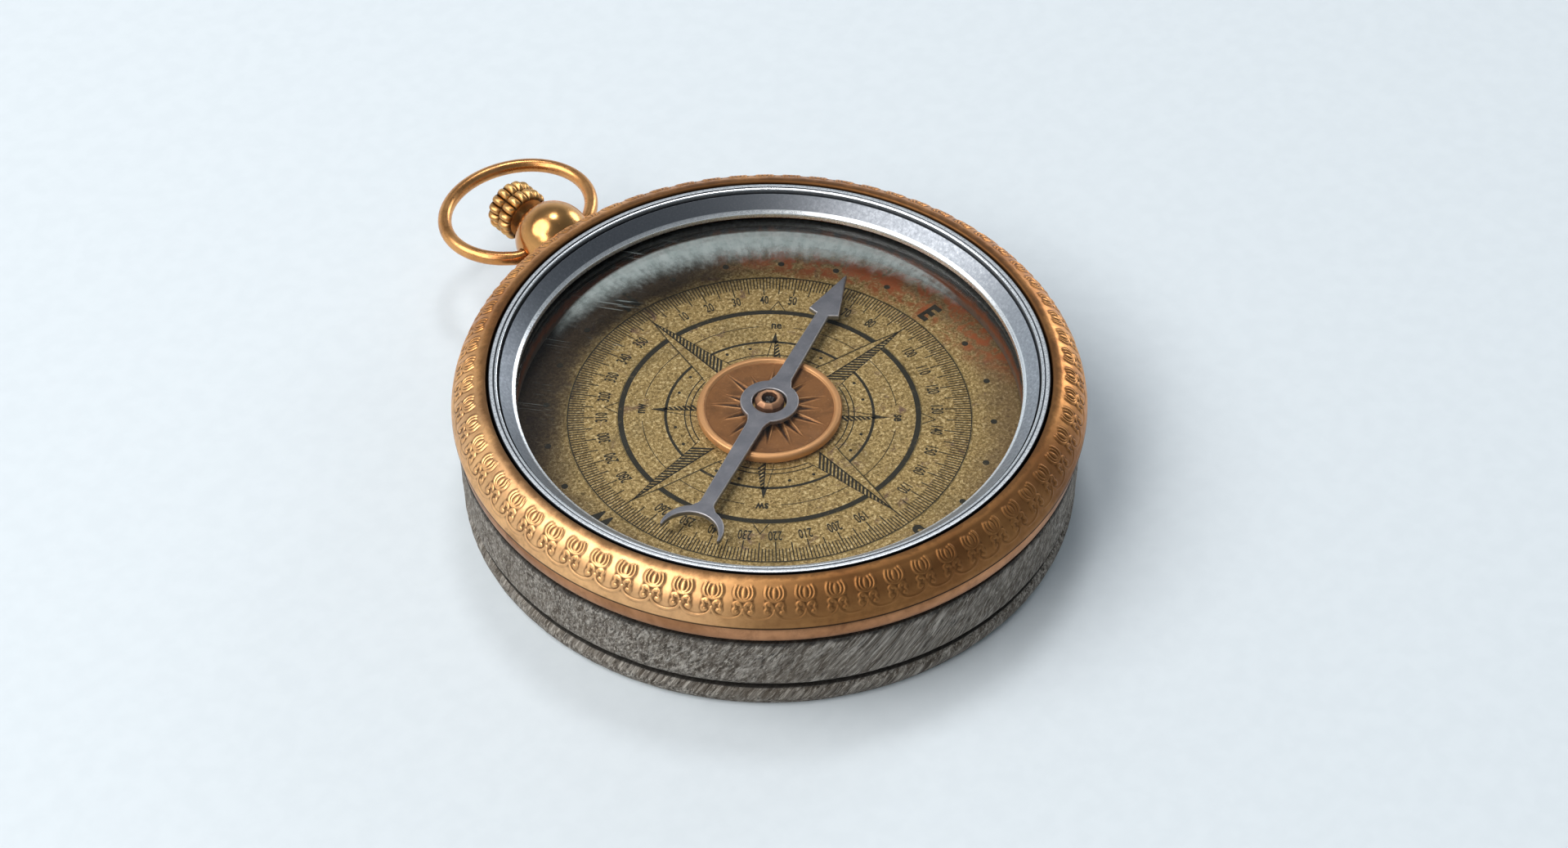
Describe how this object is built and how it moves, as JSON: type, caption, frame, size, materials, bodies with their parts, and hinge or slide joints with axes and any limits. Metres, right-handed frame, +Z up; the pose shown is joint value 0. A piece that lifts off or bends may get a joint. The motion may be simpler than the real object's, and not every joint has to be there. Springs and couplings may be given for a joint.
{
  "type": "ship compass",
  "caption": "Antique ship compass: round wooden case with an embossed bronze bezel, glazed engraved dial, magnetic needle, crown-worked needle lock and a swinging bow.",
  "frame": {"origin": "middle of the flat underside of the base plate, on the needle's pivot axis", "axes": "+Z up through the dial, +Y to the pendant and the dial's north, +X to the dial's east"},
  "size_m": [0.084, 0.1061, 0.0202],
  "materials": {
    "wood": "weathered grey turned wood with open grain",
    "bronze": "warm polished bronze with brown patina in the relief",
    "steel": "dark grey steel with bright worn edges",
    "glass": "clear crystal with a grey-green haze and fine scratches",
    "gasket": "dark aged leather washer",
    "copper": "brown oxidised copper",
    "dial_brass": "matt grained brass with patina spots and dark engraving",
    "brass": "plain turned brass",
    "blued_steel": "blue-grey steel with bright bevelled edges",
    "jewel": "polished dark bearing stone"
  },
  "bodies": {
    "case": {"case_body": "wood", "base_plate": "wood", "case_band": "bronze", "bezel": "bronze", "pendant": "bronze", "steel_ring": "steel", "pivot_post": "steel", "lever_pin": "steel", "return_spring": "steel", "bowl_screw_1": "steel", "bowl_screw_2": "steel", "bowl_screw_3": "steel", "crystal": "glass", "gasket": "gasket", "liner_ring": "copper", "rose_disc": "copper", "dial_foot_1": "copper", "dial_foot_2": "copper", "dial_plate": "dial_brass", "bowl": "brass", "lever_bracket": "brass", "pendant_tube": "brass", "base_screw_1": "brass", "base_screw_2": "brass", "base_screw_3": "brass", "base_screw_4": "brass"},
    "crown_and_stem": {"crown": "bronze", "stem": "steel", "lock_cam": "steel"},
    "lever": {"lock_lever": "brass"},
    "lifter": {"lifter_collar": "brass"},
    "needle_group": {"needle": "blued_steel", "needle_cap": "copper", "jewel_bearing": "jewel"},
    "bow_ring": {"bow": "bronze"}
  },
  "joints": [
    {"name": "crown_turn", "type": "hinge", "parent": "case", "child": "crown_and_stem", "pos_m": [0, 0.05155, 0.0125], "axis": [0, 1, 0], "range_deg": [0, 180]},
    {"name": "lever_rock", "type": "hinge", "parent": "case", "child": "lever", "pos_m": [0, 0.019, 0.008], "axis": [-1, 0, 0], "range_deg": [0, 2.8]},
    {"name": "lifter_slide", "type": "slide", "parent": "case", "child": "lifter", "axis": [0, 0, 1], "range_m": [0, 0.0009]},
    {"name": "needle_spin", "type": "hinge", "parent": "lifter", "child": "needle_group", "pos_m": [0, 0, 0.01285], "axis": [0, 0, 1], "continuous": true},
    {"name": "bow_swing", "type": "hinge", "parent": "case", "child": "bow_ring", "pos_m": [0, 0.0456, 0.0125], "axis": [1, 0, 0], "range_deg": [-40, 110]}
  ],
  "couplings": [
    {"joint": "crown_turn", "follows": "lifter_slide", "rad_per_m": 3490.7},
    {"joint": "lever_rock", "follows": "lifter_slide", "rad_per_m": 52.45}
  ]
}
